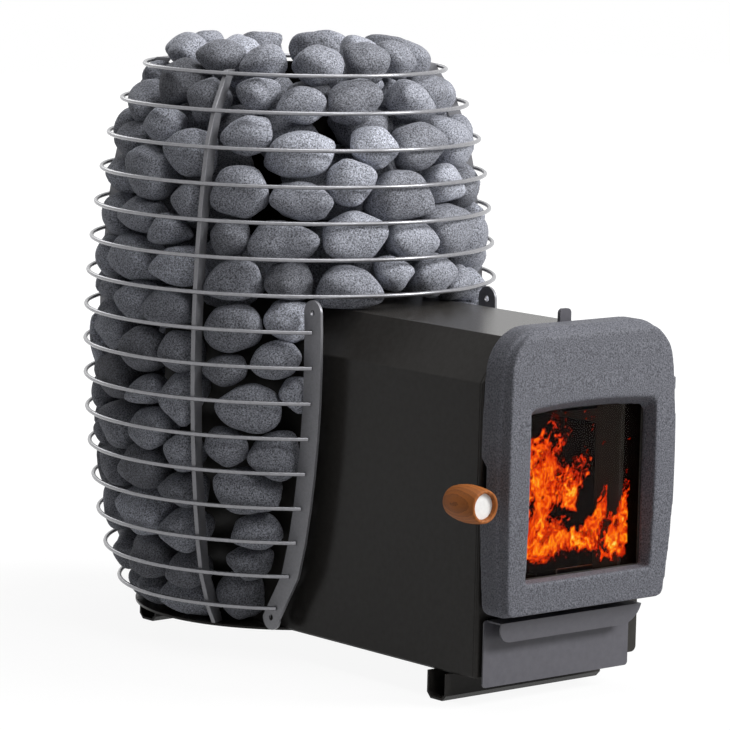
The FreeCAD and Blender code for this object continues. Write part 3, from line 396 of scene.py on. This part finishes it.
# Clear and smooth, with a breath of haze from the smoke in patches of about 7 mm.
glass, tree = blank("glass_ceramic")
haze_patch = 7.23 * mm
haze = add(tree, "TexNoise", {"Scale": pane.x / haze_patch, "Detail": 2.0})
film = add(tree, "MapRange", {"Value": haze.outputs["Fac"], "To Min": 0.0, "To Max": 0.01})
shader = add(tree, "BsdfPrincipled", {
    "Base Color": linear("#f6f3ec"), "Roughness": film.outputs[0], "IOR": 1.1, "Transmission Weight": 1.0})
add(tree, "OutputMaterial", {"Surface": shader.outputs[0]})
dress(["door_glass"], glass)
print("glass", [round(side, 3) for side in pane])

# %% [markdown]
# ## Round wires
#
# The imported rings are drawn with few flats. A real ring is round wire bent on a roller.
# A mesh tube would need many faces to look round, so each ring is drawn again as a curve
# with a round section, which keeps its smooth shading.
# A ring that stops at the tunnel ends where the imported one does.

# %% Rings
wire_radius = 2.8 * mm
ring_steps = 120
# In shares of a ring's radius: how far forward its front lies, and how wide an opening is at least.
front_share = 0.5
opening_share = 0.3


def ring_line(node):
    """Radius and height of a packed ring, and half the angle of its opening at the front."""
    spots = [corner.co - cage_axis for corner in parts[node].data.vertices]
    radius = max(math.hypot(spot.x, spot.y) for spot in spots) - wire_radius
    low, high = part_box(node)
    nearest = min(abs(spot.x) for spot in spots if spot.y < -front_share * radius)
    opening = math.asin(nearest / radius) if nearest > opening_share * radius else 0.0
    return radius, (low.z + high.z) / 2, opening


rings = sorted(name for name in parts if name.startswith("cage_ring"))
for name in rings:
    radius, height, opening = ring_line(name)
    count = ring_steps + 1 if opening else ring_steps
    angles = [opening + (math.tau - 2 * opening) * step / ring_steps for step in range(count)]
    curve = bpy.data.curves.new("wire_" + name[-2:], "CURVE")
    curve.dimensions = "3D"
    curve.bevel_depth = wire_radius
    curve.bevel_resolution = 3
    curve.use_fill_caps = True
    line = curve.splines.new("POLY")
    line.points.add(len(angles) - 1)
    for point, angle in zip(line.points, angles):
        point.co = (cage_axis.x + radius * math.sin(angle), cage_axis.y - radius * math.cos(angle), height, 1)
    line.use_cyclic_u = not opening
    line.use_smooth = True
    curve.materials.append(drawn_wire)
    wire = show("wire_ring_" + name[-2:], curve)
    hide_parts(name)
    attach(wire, "stove")
print("rings:", len(rings), "widest", round(max(ring_line(name)[0] for name in rings), 4))

# %% [markdown]
# ## Stones
#
# The stones are basalt rolled in water until they are round. No two of them are the same grey.
# That could be a material for each stone, but one material is enough here: it reads the stone's own tone
# from the mesh, and multiplies it with the specks that all the stones share.

# %% Basalt
# Basalt is a lava of tiny crystals, dulled by rolling: a matt grey with pale specks and fine pores.
# Specks and pores are drawn about twice as coarse as they are, so that they show. Sizes are in mm.
speck_size = 2.0
pore_size = 2.4
basalt, tree = blank("rolled_basalt")
place = add(tree, "TexCoord").outputs["Object"]
tone = add(tree, "Attribute", attribute_name="tone")
speck = add(tree, "TexNoise", {"Vector": place, "Scale": 1000 / speck_size, "Detail": 3.0, "Roughness": 0.7})
spread = add(tree, "MapRange", {"Value": speck.outputs["Fac"], "From Min": 0.36, "From Max": 0.68})
specks = {0: spread.outputs[0], 6: linear("#5a5b5f"), 7: linear("#f2f5ff")}
grey = add(tree, "Mix", specks, data_type="RGBA")
own_tone = {0: tone.outputs["Fac"], 6: linear("#98989a"), 7: linear("#fafbff")}
dark = add(tree, "Mix", own_tone, data_type="RGBA")
layers = {0: 1.0, 6: grey.outputs[2], 7: dark.outputs[2]}
shade = add(tree, "Mix", layers, data_type="RGBA", blend_type="MULTIPLY")
pores = add(tree, "TexNoise", {"Vector": place, "Scale": 1000 / pore_size, "Detail": 3.0})
relief = add(tree, "Bump", {"Height": pores.outputs["Fac"], "Distance": 0.6 * mm, "Strength": 0.8})
shader = add(tree, "BsdfPrincipled", {
    "Base Color": shade.outputs[2], "Roughness": 0.82, "Specular IOR Level": 0.35,
    "Normal": relief.outputs[0]})
add(tree, "OutputMaterial", {"Surface": shader.outputs[0]})
print("stone finish:", basalt.name)

# %% [markdown]
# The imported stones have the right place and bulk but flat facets. Subdividing their meshes would shrink
# each stone, and the facets would still show. So each stone is first read as a list of its facets,
# with the way each one faces and how far it lies from the stone's middle.

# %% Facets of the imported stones
# A sliver smaller than this, in square metres, is no facet, and two that face this much alike are one.
least_facet = 1e-8
alike = 0.999


def loose_stones(node):
    """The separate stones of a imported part: the middle of each, and the normal and distance of its facets."""
    work = bmesh.new()
    work.from_mesh(parts[node].data)
    bmesh.ops.remove_doubles(work, verts=work.verts, dist=weld_gap)
    bmesh.ops.recalc_face_normals(work, faces=work.faces)
    work.verts.index_update()
    left = set(work.verts)
    stones = []
    while left:
        group = [min(left, key=lambda corner: corner.index)]
        left.discard(group[0])
        for corner in group:
            near = [edge.other_vert(corner) for edge in corner.link_edges]
            fresh = [other for other in near if other in left]
            group.extend(fresh)
            left.difference_update(fresh)
        middle = sum((corner.co for corner in group), Vector()) / len(group)
        faces = {face for corner in group for face in corner.link_faces}
        facets = []
        for face in sorted(faces, key=lambda face: face.index):
            away = face.normal.dot(face.verts[0].co - middle)
            known = any(face.normal.dot(other) > alike for other, _ in facets)
            if face.calc_area() > least_facet and not known:
                facets.append((face.normal.copy(), away))
        stones.append((middle, facets))
    work.free()
    return stones


packed_stones = {name: loose_stones(name) for name in sorted(parts) if name.startswith("stones_")}
print("stones:", sum(len(stones) for stones in packed_stones.values()))

# %% [markdown]
# Rolling wears a corner most, an edge less and a flat least. The rounded form here does the same to a ball:
# along each direction from the middle of a stone, the nearness of all its facets is added up with a power,
# so that where facets meet the surface draws in.

# %% Worn form
# A low wear number is a round stone, and a high one keeps its facets.
wear = 6
ball_divisions = 4


def unit_ball(divisions):
    """The directions and the faces of an evenly divided ball."""
    work = bmesh.new()
    bmesh.ops.create_icosphere(work, subdivisions=divisions, radius=1.0)
    work.verts.index_update()
    directions = [corner.co.normalized() for corner in work.verts]
    faces = [[corner.index for corner in face.verts] for face in work.faces]
    work.free()
    return directions, faces


def worn_reach(direction, facets):
    """How far a worn stone reaches along a direction."""
    return sum(max(direction.dot(normal) / away, 0.0) ** wear for normal, away in facets) ** (-1 / wear)


directions, ball_faces = unit_ball(ball_divisions)
print("corners of a stone:", len(directions))

# %% [markdown]
# Worn stones leave gaps that the facets did not, so all of them grow a little, to fill the cage again.
# Slow noise makes every one a little lumpy, and gives it its tone. Each stone could be its own object,
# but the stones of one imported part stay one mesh, which stands for that part.

# %% Rounded stones
growth = 1.155
# The flue tube stands among the stones, and none of them reaches into it.
flue_keep = (flue_high.x - flue_low.x) / 2 + 2 * mm
# Lumps are a share of a stone's size. The paces say how fast lump and tone change with place, per metre.
lump = 0.08
lumps_round_stone = 1.4
lump_pace = 60
tone_pace = 90
tone_middle = 0.5
tone_spread = 0.9


def pebbles(node, stones):
    """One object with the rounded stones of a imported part."""
    corners = []
    faces = []
    tones = []
    for middle, facets in stones:
        faces += [[len(corners) + at for at in face] for face in ball_faces]
        tones += [tone_middle + tone_spread * noise.noise(middle * tone_pace)] * len(directions)
        for direction in directions:
            lumps = 1 + lump * noise.noise(direction * lumps_round_stone + middle * lump_pace)
            corner = middle + direction * worn_reach(direction, facets) * growth * lumps
            aside = (corner - cage_axis).to_2d()
            if aside.length < flue_keep:
                corner.xy = cage_axis.xy + aside.normalized() * flue_keep
            corners.append(corner)
    mesh = bpy.data.meshes.new(node)
    mesh.from_pydata(corners, [], faces)
    mesh.attributes.new("tone", "FLOAT", "POINT").data.foreach_set("value", tones)
    mesh.shade_smooth()
    mesh.materials.append(basalt)
    return show("pebbles_" + node.split("_")[1], mesh)


for name, stones in packed_stones.items():
    heap = pebbles(name, stones)
    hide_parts(name)
    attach(heap, "stove")
    print(heap.name, len(stones), "stones")

# %% [markdown]
# ## The knob
#
# The knob is wood, so that it stays cool to the hand. It is cut so that the growth rings show on its side
# as nested ovals. Straight bands of colour would look printed on, so the rings are shells round a point
# beside the knob, and the knob's surface cuts through them as a lathe does.

# %% Wood
knob_low, knob_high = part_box("knob")
knob_middle = (knob_low + knob_high) / 2
# Oiled wood: warm brown with dark growth rings, its fibres just felt through a thin dull film.
# The shells are stretched along the knob's axis, as a trunk is. Ring and fibre sizes are in mm.
ring_heart = knob_middle + Vector((-0.045, 0.012, 0.004))
stretch = (1.0, 0.45, 1.2)
growth_ring = 5.712
fibre_size = 1.43
wood, tree = blank("oiled_wood")
place = add(tree, "TexCoord").outputs["Object"]
shift = add(tree, "VectorMath", {0: place, 1: ring_heart}, operation="SUBTRACT")
flow = add(tree, "VectorMath", {0: shift.outputs[0], 1: stretch}, operation="MULTIPLY")
# A wave of scale one has a ring every tenth of pi, in metres.
growth_rings = add(tree, "TexWave", {
    "Vector": flow.outputs[0], "Scale": 1000 * math.pi / 10 / growth_ring, "Distortion": 2.5, "Detail": 3.0,
    "Detail Scale": 1.4}, wave_type="RINGS", rings_direction="SPHERICAL", wave_profile="SAW")
fibre = add(tree, "TexNoise", {"Vector": flow.outputs[0], "Scale": 1000 / fibre_size, "Detail": 3.0})
lines = add(tree, "Math", {0: growth_rings.outputs["Fac"], 1: fibre.outputs["Fac"]}, operation="MULTIPLY")
browns = {0: lines.outputs[0], 6: linear("#a8622a"), 7: linear("#50290a")}
colour = add(tree, "Mix", browns, data_type="RGBA")
relief = add(tree, "Bump", {"Height": lines.outputs[0], "Distance": 0.2 * mm, "Strength": 0.6})
shader = add(tree, "BsdfPrincipled", {
    "Base Color": colour.outputs[2], "Roughness": 0.55, "Specular IOR Level": 0.25,
    "Normal": relief.outputs[0]})
add(tree, "OutputMaterial", {"Surface": shader.outputs[0]})
print("wood finish:", wood.name)

# %% [markdown]
# The knob is turned on a lathe. A stretched ball would be too plain at its ends, so it is drawn as a profile
# spun round its own axis, with a seat for the cap in front and a bore for the stud behind.

# %% Turned knob
size = knob_high - knob_low
belly = size.x / 2
length = size.y
stud_bore = 4.3 * mm
cap_seat = 16.5 * mm
seat_floor = length - 8 * mm
lathe_steps = 72
# Radius and distance from the back end, along the outside to the front and into the cap's seat.
profile = [
    (stud_bore, 0), (0.62 * belly, 0), (0.72 * belly, 1 * mm), (0.80 * belly, 4 * mm),
    (0.90 * belly, 12 * mm), (0.975 * belly, 22 * mm), (belly, 32 * mm), (0.985 * belly, 42 * mm),
    (0.94 * belly, 51 * mm), (0.885 * belly, 57.5 * mm), (0.86 * belly, 59.4 * mm), (0.82 * belly, length),
    (cap_seat + 0.4 * mm, length - 0.4 * mm), (cap_seat, length - 1.2 * mm), (cap_seat, seat_floor),
    (stud_bore, seat_floor)]
work = bmesh.new()
line = [work.verts.new((knob_middle.x + radius, knob_high.y - along, knob_middle.z))
        for radius, along in profile]
edges = [work.edges.new(pair) for pair in zip(line, line[1:])]
bmesh.ops.spin(work, geom=line + edges, cent=knob_middle, axis=(0, 1, 0), angle=math.tau,
               steps=lathe_steps, use_merge=True)
bmesh.ops.remove_doubles(work, verts=work.verts, dist=0.01 * mm)
bmesh.ops.recalc_face_normals(work, faces=work.faces)
mesh = bpy.data.meshes.new("turned_knob")
work.to_mesh(mesh)
work.free()
mesh.shade_smooth()
mesh.materials.append(wood)
knob = show("turned_knob", mesh)
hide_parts("knob")
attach(knob, "latch")
print("knob", round(2000 * belly, 1), "mm across,", round(1000 * length, 1), "mm long")

# %% [markdown]
# ## The fire
#
# The heater is shown alight. A flame is a thin sheet of glowing soot with a ragged edge.
# It could be a volume, but that is slow to render and is lost when the model is exported,
# so the fire is drawn as two upright sheets of mesh, one behind the other.
# The mesh keeps how hot each spot is, and the finish turns that into colour and cover.

# %% Flame finish
# Hot soot gives light of its own: the hotter it is, the yellower, and where it is thin it fades to clear.
flame, tree = blank("flame")
heat = add(tree, "Attribute", attribute_name="fire_heat").outputs["Fac"]
ramp = add(tree, "ValToRGB", {"Fac": heat})
glow_steps = [(0.0, "#1a0100"), (0.12, "#7d0a00"), (0.30, "#e02a00"),
              (0.50, "#ff6a00"), (0.72, "#ffb310"), (1.0, "#fff48a")]
while len(ramp.color_ramp.elements) < len(glow_steps):
    ramp.color_ramp.elements.new(0.5)
for step, (at, code) in zip(ramp.color_ramp.elements, glow_steps):
    step.position = at
    step.color = linear(code)
shine = add(tree, "Emission", {"Color": ramp.outputs["Color"], "Strength": 1.0})
clear = add(tree, "BsdfTransparent", {"Color": (1.0, 1.0, 1.0, 1.0)})
cover = add(tree, "MapRange", {"Value": heat, "From Min": 0.0, "From Max": 0.12})
surface = add(tree, "MixShader", {0: cover.outputs[0], 1: clear.outputs[0], 2: shine.outputs[0]})
add(tree, "OutputMaterial", {"Surface": surface.outputs[0]})
print("flame colours:", len(glow_steps))

# %% [markdown]
# Noise alone looks like a cloud, so the heat starts from a few tongues that lean and taper as flames do.
# Swirls of noise bend them, and bright threads and dark murk are laid over them.
# The heat runs from dark red through orange to yellow, and what is below zero is cold.

# %% Heat of the fire
# The swirls below start from a chosen seed, so the fire is the same each time.
noise.seed_set(20)
# Tongues of flame, in shares of the window: foot across, lean, height of the tip and half width.
tongues = [(0.08, 0.42, 1.0, 0.15), (0.0, 0.10, 0.76, 0.12), (0.42, 0.26, 0.70, 0.15),
           (0.88, 0.16, 0.50, 0.11), (0.45, 0.0, 0.26, 0.55)]
tip_half = 0.012
tip_fade, tip_end = 3.0, 0.25
# A dark hollow in the fire and a dark sill under it: where they are, how large, and how much they cool.
hollow_across, hollow_up = 0.50, 0.31
hollow_wide, hollow_tall = 0.15, 0.08
hollow_reach, hollow_chill = 1.3, 1.8
sill_up, sill_chill = 0.11, 16
# Swirls that bend the flame and threads that glow in it: how fine they are, and how strong.
swirls = [(1.6, 0.14), (4.3, 0.08), (9.0, 0.045), (19.0, 0.02)]
swirl_across, swirl_up, swirl_curl = 0.8, 0.7, 3.4
threads = [(3.1, 0.55), (6.3, 0.6), (12.0, 0.4)]
thread_edge = 3.6
murk_fine = 4.7
# The window is spread over this much noise, and the heat outside all tongues is this low.
noise_across, noise_up = 2.6, 2.2
cold = -1.5
# What each adds to the heat, the most that a tongue counts for, and the heat that is lost everywhere.
body_share, thread_share, murk_share = 0.55, 0.52, 0.3
body_most = 0.8
heat_lost = 0.2


def heat_at(across, up, seed):
    """Heat of a spot: bright threads and murk inside the tongues, and nothing outside them."""
    spot = Vector((across * noise_across, up * noise_up, seed))
    swirl = sum((noise.noise_vector(spot * fine) * strong for fine, strong in swirls), Vector())
    across_now = across + swirl.x * swirl_across
    up_now = max(up + swirl.y * swirl_up, 0.0)
    body = cold
    for foot, lean, tip, half in tongues:
        left = max(1 - up_now / tip, 0.0)
        wide = half * left ** 0.5 + tip_half
        aside = (across_now - foot - lean * up_now) / wide
        body = max(body, min(1 - aside * aside, tip_fade * left - tip_end))
    hollow = ((across_now - hollow_across) / hollow_wide) ** 2 + ((up_now - hollow_up) / hollow_tall) ** 2
    body -= max(hollow_reach - hollow, 0.0) * hollow_chill
    body -= max(sill_up - up_now, 0.0) * sill_chill
    curl = spot + swirl * swirl_curl
    thread = sum(strong * max(1 - abs(noise.noise(curl * fine)) * thread_edge, 0.0) ** 2
                 for fine, strong in threads)
    murk = noise.noise(curl * murk_fine)
    body = max(min(body, body_most), cold)
    return body * body_share - heat_lost + thread_share * thread + murk_share * murk


print("heat in the thick of the fire:", round(heat_at(0.1, 0.25, 0.0), 2))

# %% [markdown]
# A sheet of flame is a fine grid behind the glass, with every cold cell left out, so its ragged edge is in
# the mesh and not only in the finish. Each sheet ripples a little, so that it is not flat from the side,
# and takes its heat from a layer of the noise of its own.

# %% Flames
flame_margin = 8 * mm
flame_cells = 170
ripple = 5 * mm
ripples_across, ripples_up = 4, 3
setbacks = (12 * mm, 50 * mm)
first_layer, layer_step = 0.37, 1.9


def flame_sheet(name, setback, seed):
    """A sheet of flame that stands a distance behind the glass, in metres."""
    wide = pane.x - 2 * flame_margin
    tall = pane.z - 2 * flame_margin
    work = bmesh.new()
    layer = work.verts.layers.float.new("fire_heat")
    grid = []
    for row in range(flame_cells + 1):
        for column in range(flame_cells + 1):
            across = column / flame_cells
            up = row / flame_cells
            bulge = ripple * noise.noise(Vector((across * ripples_across, up * ripples_up, seed)))
            corner = work.verts.new((glass_low.x + flame_margin + wide * across,
                                     glass_high.y + setback + bulge,
                                     glass_low.z + flame_margin + tall * up))
            corner[layer] = heat_at(across, up, seed)
            grid.append(corner)
    stride = flame_cells + 1
    for row in range(flame_cells):
        for column in range(flame_cells):
            at = row * stride + column
            corners = [grid[at], grid[at + 1], grid[at + stride + 1], grid[at + stride]]
            if max(corner[layer] for corner in corners) > 0:
                work.faces.new(corners)
    bmesh.ops.delete(work, geom=[corner for corner in work.verts if not corner.link_faces], context="VERTS")
    mesh = bpy.data.meshes.new(name)
    work.to_mesh(mesh)
    work.free()
    mesh.shade_smooth()
    mesh.materials.append(flame)
    made = show(name, mesh)
    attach(made, "stove")
    return made


for number, setback in enumerate(setbacks, 1):
    made = flame_sheet(f"flame_{number}", setback, first_layer + layer_step * number)
    print(made.name, len(made.data.polygons), "faces")
